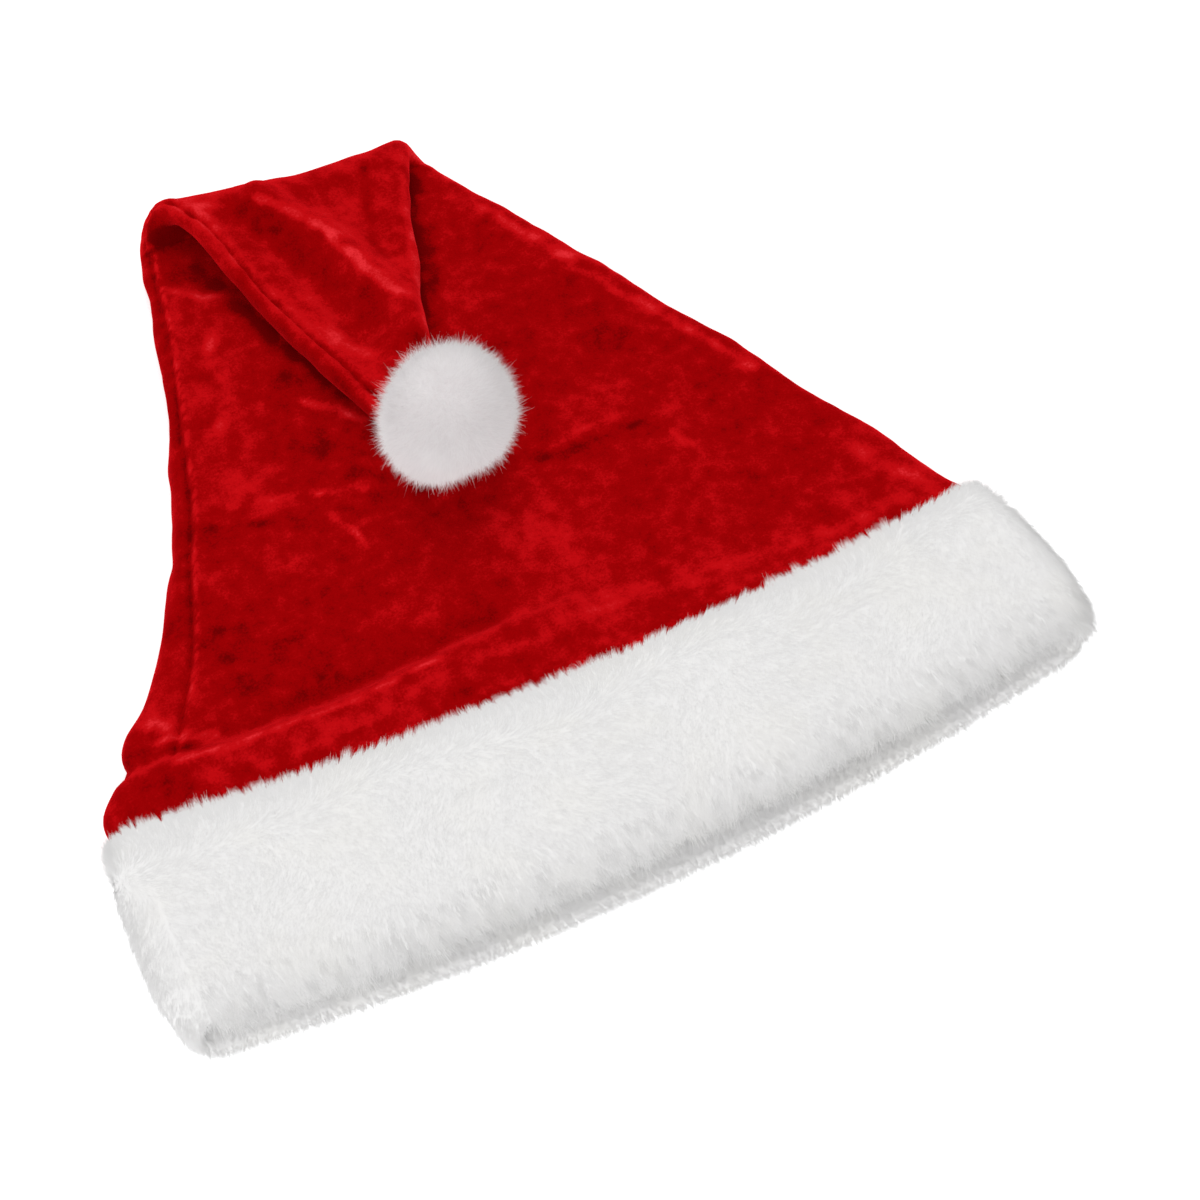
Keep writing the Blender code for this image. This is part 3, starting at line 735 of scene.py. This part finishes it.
def gridRoots(grid, normals, count, seed, weights=None):
    # places spread evenly over rings of points: where, the normal, and the row and column there
    rng = np.random.default_rng(seed)
    beside = np.roll(grid, -1, axis=1)
    across = (beside - grid)[:-1]
    up = grid[1:] - grid[:-1]
    area = np.linalg.norm(np.cross(across, up), axis=-1)
    if weights is not None:
        area = area * weights[:-1]
    flat = np.cumsum(area.ravel())
    picked = np.searchsorted(flat, (np.arange(count) + rng.uniform(size=count)) * flat[-1] / count)
    row, column = np.unravel_index(np.clip(picked, 0, area.size - 1), area.shape)
    after = (column + 1) % grid.shape[1]
    s, t = rng.uniform(size=count), rng.uniform(size=count)

    def blend(values):
        a, b = values[row, column], values[row, after]
        c, d = values[row + 1, column], values[row + 1, after]
        ss, tt = s[:, None], t[:, None]
        return (a * (1 - ss) + b * ss) * (1 - tt) + (c * (1 - ss) + d * ss) * tt

    return blend(grid), unit(blend(normals)), row + t, column + s


clumpShifts = 4096


def nearestClump(plan, size, seed):  # the jittered lattice point nearest to each point of a plan
    cell = np.floor(plan / size).astype(int)
    closest = np.full(len(plan), np.inf)
    chosen = np.zeros_like(plan)
    number = np.zeros(len(plan), dtype=int)
    table = np.random.default_rng(seed).uniform(size=(clumpShifts, 2))
    for dx in (-1, 0, 1):
        for dy in (-1, 0, 1):
            other = cell + [dx, dy]
            key = (other[:, 0] * 73 + other[:, 1] * 1931) % clumpShifts
            centre = (other + table[key]) * size
            distance = np.linalg.norm(plan - centre, axis=1)
            nearer = distance < closest
            closest[nearer], chosen[nearer], number[nearer] = distance[nearer], centre[nearer], key[nearer]
    return chosen, number


def growFur(name, roots, normals, lean, length, rise, look, pull, tint, material, seed):
    # three-sided spikes; lean: which way each lies over; pull: what brings the tips of a clump together
    rng = np.random.default_rng(seed)
    count = len(roots)
    lean = unit(lean - normals * (lean * normals).sum(axis=1, keepdims=True))
    rise = np.radians(rise + rng.uniform(-look["riseSpread"], look["riseSpread"], count))[:, None]
    length = (length * rng.uniform(1 - look["uneven"], 1 + look["uneven"], count))[:, None]
    tip = roots + (normals * np.sin(rise) + lean * np.cos(rise)) * length + pull * look["clumpPull"]
    tip += rng.normal(size=(count, 3)) * look["frizz"] * length
    along = unit(tip - roots)
    side = unit(np.cross(along, normals))
    over = np.cross(side, along)
    radius = look["width"] / 2 * rng.uniform(0.7, 1.3, count)[:, None]
    turns = (math.pi / 2, math.pi * 7 / 6, -math.pi / 6)
    ways = [unit(side * math.cos(turn) + over * math.sin(turn)) for turn in turns]
    base = roots - normals * look["sunk"]
    points = np.stack([base + way * radius for way in ways] + [tip], axis=1)
    points[..., 2] = np.maximum(points[..., 2], 0.1 * mm)  # none goes through the floor
    first = np.arange(count)[:, None, None] * 4
    faces = (first + np.array([[1, 0, 3], [2, 1, 3], [0, 2, 3]])).reshape(-1, 3)
    piece = makePiece(name, points.reshape(-1, 3), [faces], material)
    paintStrands(piece, np.tile([0.0, 0.0, 0.0, 1.0], count), np.repeat(tint, 4))
    soft = look["softness"]
    facing = np.stack([normals * soft + way * (1 - soft) for way in ways] + [normals], axis=1)
    lightSoftly(piece, facing, look["leastUp"])
    piece.visible_shadow = piece.visible_diffuse = False  # light passes through fur this fine
    print(name, "made,", len(faces), "triangles")
    return piece


def lightSoftly(piece, facing, leastUp):  # shades a furry piece as one surface, with light let through it
    facing = facing.reshape(-1, 3).copy()
    facing[:, 2] = np.maximum(facing[:, 2], leastUp)
    piece.data.normals_split_custom_set_from_vertices(unit(facing))


def paintStrands(piece, reach, tint):  # red: from root to tip; green: a shade for each strand
    colours = np.ones((len(piece.data.vertices), 4), dtype=np.float32)
    colours[:, 0], colours[:, 1] = reach, tint
    layer = piece.data.color_attributes.new("strand", "FLOAT_COLOR", "POINT")
    layer.data.foreach_set("color", colours.ravel())


# the plush brim

brim = {
    "frontSteps": 150,
    "sideSteps": 10,
    "swell": 0.5 * mm,
    "swellSize": 26 * mm,
    "swellAbove": 8 * mm,  # the floor side stays flat
    "hemLift": 4.0 * mm,  # the front's hem stops short of the back's
    "liftStart": 35 * mm,
    "liftReach": 30 * mm,
    "strands": 62000,  # in each of the three pieces
    "clumpSize": 2.6 * mm,
    "swirlSize": 30 * mm,
    "swirl": (0.6, 0.12, 0.3),  # how far the way it lies wanders: over the brim, by clump, by strand
    "edgeSwirl": 0.45,  # of that near the edges
    "partingWaver": 0.2,
    "topEdge": -7 * mm,  # the fur nearer the velvet than this, and past hemEdge, is the brim's edges
    "hemEdge": -52 * mm,
    "riseSpread": 9,
    "uneven": 0.3,
    "lengthSpread": 0.15,  # between clumps
    "backHem": 0.42,  # the length of the fur at the back's hem, of that at the front's
    "fringeStart": 48 * mm,  # where the front's fur starts to part into tufts
    "fringeReach": 10 * mm,
    "shades": (0.65, 1),  # of single strands
    "skinLook": (0.6, 0.7, 0.3),  # how far to the tips' colour, shade, and leastUp of the skin
    "clumpPull": 0.4,
    "edgePull": 1.3,  # of that pull at the edges
    "calm": 0.15,  # and on the flat of the fur between them
    "frizz": 0.07,
    "width": 0.19 * mm,
    "sunk": 0.3 * mm,
    "softness": 0.9,
    "leastUp": 0.55,  # how far the light reaches round to the underside
    "underside": 0.25,  # how thickly it grows where the brim lies on the floor
    "deepInside": 0.1,  # and on the inside of the front, past mouthDepth
    "mouthDepth": -58 * mm,
}

# the wall: along, how far out of its middle, length and rise of the fur in millimetres and degrees,
# how far it leans up to the velvet, not down to the hem, and how thickly it grows
skinWall = np.array([
    (-1.0, 1.2, 2.6, 30, 1.0, 2.0),
    (-1.6, 2.4, 3.0, 30, 1.0, 2.0),
    (-3.5, 3.3, 3.6, 28, 1.0, 1.6),
    (-7.0, 3.9, 3.8, 26, 0.85, 1.0),
    (-11, 4.2, 3.8, 26, 0.55, 1.0),
    (-15, 4.3, 3.8, 22, 0.2, 1.0),
    (-20, 4.3, 3.8, 20, 0.05, 1.0),
    (-25, 4.3, 3.8, 18, 0.0, 1.0),
    (-30, 4.3, 3.8, 18, 0.0, 1.0),
    (-35, 4.3, 3.8, 18, 0.0, 1.0),
    (-40, 4.3, 3.8, 18, 0.0, 1.0),
    (-45, 4.2, 3.9, 18, 0.0, 1.0),
    (-50, 4.1, 4.2, 20, 0.0, 1.1),
    (-55, 3.8, 4.8, 20, 0.0, 1.3),
    (-59, 3.3, 5.6, 20, 0.0, 1.6),
    (-62, 2.5, 6.4, 22, 0.0, 1.8),
    (-63.8, 1.4, 6.6, 28, 0.0, 1.8),
    (-64.4, 0.0, 5.5, 50, 0.0, 1.5),
    (-63.8, -1.4, 5.0, 50, 0.0, 1.3),
    (-62, -2.2, 5.0, 45, 0.0, 1.2),
    (-57, -2.9, 4.5, 45, 0.0, 1.0),
    (-48, -3.2, 4.0, 45, 0.0, 0.4),
    (-36, -3.2, 3.0, 45, 0.0, 0.1),
    (-24, -3.2, 3.0, 45, 0.0, 0.05),
    (-12, -3.2, 3.0, 45, 0.0, 0.0),
    (-4, -2.4, 3.0, 45, 0.0, 0.0),
    (-3, -1.4, 3.0, 45, 0.0, 0.0),
    (-6.5, -1.4, 3.0, 45, 0.0, 0.0),
    (-6.5, 1.1, 3.0, 45, 0.0, 0.0),
    (-3, 1.1, 3.0, 45, 0.0, 0.0),
])
skinWall[:, :3] *= mm
hemRow = 17  # the wall's lowest row: past it is the inside


def brimRings():
    shares = np.linspace(0, 1, brim["frontSteps"] + 1)
    rings = []
    for along, out in skinWall[:, :2]:
        x, z, back, _ = loopGrid(np.array([along]), shares, brim["sideSteps"])
        middle = rowsAt(np.array([along]))[0][0]
        section = np.stack([x[0], z[0]], axis=-1)
        run = unit(np.roll(section, -1, axis=0) - np.roll(section, 1, axis=0))
        newX = middle + section[:, 0] - run[:, 1] * out
        newZ = section[:, 1] + run[:, 0] * out
        lift = brim["hemLift"] * eased((-along - brim["liftStart"]) / brim["liftReach"]) * (1 - back[0])
        rings.append(np.stack([newX, along - bowed(newX, along) + lift, newZ], axis=-1))
    grid = np.array(rings)
    swell = brim["swell"] * softNoise(grid, brim["swellSize"], 21)
    outside = eased(skinWall[:, 1] / (2 * mm))[:, None]
    grid[..., 2] += swell * outside * (grid[..., 2] > brim["swellAbove"])
    grid[..., 2] = np.maximum(grid[..., 2], 0.2 * mm)
    return grid + shift


def makeBrimSkin(grid):
    rows, columns = grid.shape[:2]
    faces = ringFaces(rows, columns)[:, ::-1]
    ring = np.arange(columns)
    after = (ring + 1) % columns
    last = (rows - 1) * columns
    closing = np.stack([last + ring, last + after, after, ring], axis=-1)[:, ::-1]
    piece = makePiece("plush_brim", grid.reshape(-1, 3), [faces, closing], plush)
    reach, shade, leastUp = brim["skinLook"]
    lightSoftly(piece, -gridNormals(grid), leastUp)
    paintStrands(piece, reach, shade)
    print("brim skin made,", triangles([faces, closing]), "triangles")
    return piece


def brimFur(grid):
    normals = -gridNormals(grid)
    underside = np.where(normals[..., 2] < -0.5, brim["underside"], 1.0)
    isDeep = (skinWall[:, 1:2] < 0) & (skinWall[:, 0:1] > brim["mouthDepth"])
    hidden = np.where((normals[..., 2] < 0) & isDeep, brim["deepInside"], 1.0)
    total = brim["strands"] * 3
    roots, out, row, column = gridRoots(grid, normals, total, 31, hidden * (underside * skinWall[:, 5:6]))
    wall = np.stack([np.interp(row, np.arange(len(skinWall)), skinWall[:, n]) for n in range(5)], axis=-1)
    along, _, length, rise, parting = wall.T
    isBack = column > brim["frontSteps"] + brim["sideSteps"] / 2
    apart = isBack * 200 * mm + (row > hemRow) * 100 * mm  # no clump joins front, back and inside
    plan = np.stack([roots[:, 0], along + apart], axis=-1)
    centre, number = nearestClump(plan, brim["clumpSize"], 33)
    jitter = np.random.default_rng(34).normal(size=(clumpShifts, 3))[number]
    edges = (along > brim["topEdge"]) | (along < brim["hemEdge"])

    wide, byClump, byStrand = brim["swirl"]
    swirl = wide * softNoise(centre, brim["swirlSize"], 36) + byClump * jitter[:, 0]
    swirl += byStrand * np.random.default_rng(37).normal(size=total)
    waver = brim["partingWaver"] * softNoise(centre, brim["swirlSize"], 35) * (parting > 0.01)
    heading = math.pi * (1 - np.clip(parting + waver, 0, 1)) + swirl * np.where(edges, brim["edgeSwirl"], 1.0)
    lean = np.stack([np.sin(heading), np.cos(heading), 0 * heading], axis=-1)

    toCentre = np.zeros_like(roots)
    toCentre[:, :2] = centre - plan
    toCentre -= out * (toCentre * out).sum(axis=1, keepdims=True)
    toCentre *= np.where(edges, brim["edgePull"], brim["calm"])[:, None]
    length = length * (1 + brim["lengthSpread"] * jitter[:, 2])
    length *= np.where(isBack & (along < -50 * mm), brim["backHem"], 1.0)

    fringe = eased((-along - brim["fringeStart"]) / brim["fringeReach"]) * ~isBack
    tint = np.random.default_rng(38).uniform(*brim["shades"], size=total)
    tuftTint = eased(0.7 + 0.5 * jitter[:, 1] + 0.3 * (tint - 0.8))
    tint = tint * (1 - fringe) + fringe * tuftTint

    order = np.argsort(roots[:, 0], kind="stable")
    pieces = []
    for n, (name, part) in enumerate(zip(("fur_left", "fur_middle", "fur_right"), np.array_split(order, 3))):
        pieces.append(growFur(
            name, roots[part], out[part], lean[part], length[part], rise[part], brim, toCentre[part],
            tint[part], plush, 40 + n))
    return pieces


brimGrid = brimRings()
brimPiece = makeBrimSkin(brimGrid)
furPieces = brimFur(brimGrid)
for fur in furPieces:
    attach(fur, "root")
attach(brimPiece, "root")
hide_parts("brim")


# the pompom

pompom = {
    "at": (1.8 * mm, 77.8 * mm, 35.2 * mm),
    "ballRadius": 18.3 * mm,
    "squash": 0.95,
    "rows": 60,
    "columns": 90,
    "lump": 1.4 * mm,
    "lumpSize": 15 * mm,
    "seatGap": 0.5 * mm,  # between the ball and the velvet
    "strands": 62000,
    "furLength": 4.4 * mm,
    "bumps": (  # which way, how far out, how wide in degrees
        ((-0.94, -0.09, -0.33), 3.2 * mm, 26),
        ((0.07, -0.87, -0.49), -4.0 * mm, 32),
        ((0.97, -0.13, 0.20), -2.4 * mm, 20),
        ((-0.58, 0.76, 0.27), -2.4 * mm, 24),
    ),
    "stray": 0.5,  # how much longer a few of the strands are
    "strayRarity": 12,
    "heads": 1500,  # clumps over the whole ball
    "swirl": (0.6, 0.9),  # how far the way it lies wanders: by clump, by fibre
    "swirlSize": 1.1,  # of the ball's radius
    "droop": 0.4,
    "rise": 36,
    "riseSpread": 28,
    "uneven": 0.4,
    "clumpPull": 0.2,
    "frizz": 0.12,
    "width": 0.18 * mm,
    "sunk": 0.2 * mm,
    "softness": 0.9,
    "leastUp": 0.7,
}


def ballGrid():
    polar = np.linspace(0.02, math.pi - 0.02, pompom["rows"])[::-1, None]
    turn = np.linspace(0, 2 * math.pi, pompom["columns"], endpoint=False)[None, :]
    way = np.stack([
        np.sin(polar) * np.cos(turn), np.sin(polar) * np.sin(turn), np.cos(polar) + 0 * turn
    ], axis=-1)
    lumps = softNoise(way * pompom["ballRadius"], pompom["lumpSize"], 51)
    radius = pompom["ballRadius"] + pompom["lump"] * lumps
    for towards, height, width in pompom["bumps"]:
        away = 1 - way @ unit(np.array(towards))
        radius += height * np.exp(-away / (1 - math.cos(math.radians(width))))
    place = way * radius[..., None] * [1, 1, pompom["squash"]]
    return place + np.array(pompom["at"]) + shift, way


def seatHeight(points):
    flat = points - shift
    along = flat[..., 1]
    return frontHeight(along, flat[..., 0] - rowsAt(along)[0]) + hat["cloth"] / 2


def makePompom():
    grid, way = ballGrid()
    seat = seatHeight(grid) + pompom["seatGap"]
    grid[..., 2] = np.maximum(grid[..., 2], seat)
    rows, columns = grid.shape[:2]
    tips = np.array([grid[0].mean(axis=0), grid[-1].mean(axis=0)])
    points = np.vstack([grid.reshape(-1, 3), tips])
    ring = np.arange(columns)
    after = (ring + 1) % columns
    last = (rows - 1) * columns
    bottom = np.stack([after, ring, np.full(columns, rows * columns)], axis=-1)
    top = np.stack([last + ring, last + after, np.full(columns, rows * columns + 1)], axis=-1)
    faces = [ringFaces(rows, columns), bottom, top]
    ball = makePiece("pompom_ball", points, faces, pompomFur)
    lightSoftly(ball, np.vstack([way.reshape(-1, 3), [[0, 0, -1], [0, 0, 1]]]), pompom["leastUp"])
    paintStrands(ball, 0.6, 0.7)
    free = (grid[..., 2] > seat + 0.2 * mm) * 1.0
    roots, out, _, _ = gridRoots(grid, way, pompom["strands"], 52, free)
    heads = unit(np.random.default_rng(53).normal(size=(pompom["heads"], 3)))
    nearest = np.argmax(out @ heads.T, axis=1)
    swirl = np.stack([softNoise(heads, pompom["swirlSize"], seed) for seed in (54, 55, 56)], axis=-1)
    swirl[:, 2] -= pompom["droop"]
    byClump, byFibre = pompom["swirl"]
    lean = byClump * swirl[nearest] + byFibre * np.random.default_rng(57).normal(size=(len(out), 3))
    toHead = (heads[nearest] - out) * pompom["ballRadius"]
    luck = np.random.default_rng(59).uniform(size=len(roots))
    stray = 1 + pompom["stray"] * luck ** pompom["strayRarity"]
    length, rise = stray * pompom["furLength"], np.full(len(roots), pompom["rise"])
    tint = np.random.default_rng(60).uniform(size=len(roots))
    fur = growFur("pompom_fibre", roots, out, lean, length, rise, pompom, toHead, tint, pompomFur, 58)
    coordinates = np.empty(len(fur.data.vertices) * 3, dtype=np.float32)
    fur.data.vertices.foreach_get("co", coordinates)
    places = coordinates.reshape(-1, 3)
    places[:, 2] = np.maximum(places[:, 2], seatHeight(places) + 0.3 * mm)
    fur.data.vertices.foreach_set("co", places.ravel())
    return ball, fur


pompomPiece, pompomFibre = makePompom()
for piece in (pompomPiece, pompomFibre):
    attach(piece, "root")
    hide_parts("pompom")


# floor, light and camera

studio = {
    "floorSize": 14.0,
    "floorColour": (0.93, 0.935, 0.94),
    "floorGlow": 0.42,
    "skyStrength": 0.62,
    "target": (22.1 * mm, -46.9 * mm, 0.0),
    "azimuth": math.radians(-26.69),
    "elevation": math.radians(57),
    "distance": 0.9,
    "lens": 90.45,
}

lights = (  # name, place, size, power
    ("key", (0.3, 1.1, 1.3), 1.4, 10.0),
    ("fill", (-0.75, -1.1, 1.1), 1.5, 8.0),
)


def floorMaterial():
    material, tree, shader = newMaterial("studio_floor", 0.9, 0.0, 0.5, (1, 1, 1), 0.1)
    shader.inputs["Emission Color"].default_value = (1, 1, 1, 1)
    shader.inputs["Emission Strength"].default_value = studio["floorGlow"]
    place = shaderNode(tree, "ShaderNodeTexCoord").outputs["Object"]
    soft = noiseAt(tree, place, 0.35, detail=2)
    pale = studio["floorColour"]
    colour = colourRamp(tree, soft, [(0.3, tuple(c * 0.99 for c in pale)), (0.7, pale)])
    tree.links.new(colour, shader.inputs["Base Color"])
    return material


def aim(thing, place, target):
    back = np.array(place) - np.array(target)
    back /= np.linalg.norm(back)
    thing.location = place
    thing.rotation_euler = (
        math.atan2(math.hypot(back[0], back[1]), back[2]), 0, math.atan2(back[0], -back[1])
    )


def makeStudio():
    half = studio["floorSize"] / 2
    corners = np.array([(-half, -half, 0), (half, -half, 0), (half, half, 0), (-half, half, 0)])
    floor = makePiece("floor", corners - [0, 0, 0.05 * mm], [np.array([[0, 1, 2, 3]])], floorMaterial())
    world = bpy.data.worlds.new("studio")
    bpy.context.scene.world = world
    world.use_nodes = True
    background = world.node_tree.nodes["Background"]
    background.inputs["Color"].default_value = (1, 1, 1, 1)
    background.inputs["Strength"].default_value = studio["skyStrength"]
    for name, place, size, power in lights:
        lamp = bpy.data.lights.new(name, "AREA")
        lamp.shape = "DISK"
        lamp.size = size
        lamp.energy = power
        made = bpy.data.objects.new(name, lamp)
        bpy.context.scene.collection.objects.link(made)
        aim(made, place, (0, 0, 0))
    azimuth, elevation, target = studio["azimuth"], studio["elevation"], np.array(studio["target"])
    back = np.array([
        math.sin(azimuth) * math.cos(elevation), -math.cos(azimuth) * math.cos(elevation), math.sin(elevation)
    ])
    lens = bpy.data.cameras.new("camera")
    lens.lens = studio["lens"]
    lens.sensor_width = 36
    lens.clip_start = 0.05
    camera = bpy.data.objects.new("camera", lens)
    bpy.context.scene.collection.objects.link(camera)
    aim(camera, tuple(target + back * studio["distance"]), tuple(target))
    bpy.context.scene.camera = camera
    bpy.context.scene.view_settings.view_transform = "Standard"


makeStudio()
print("studio made")
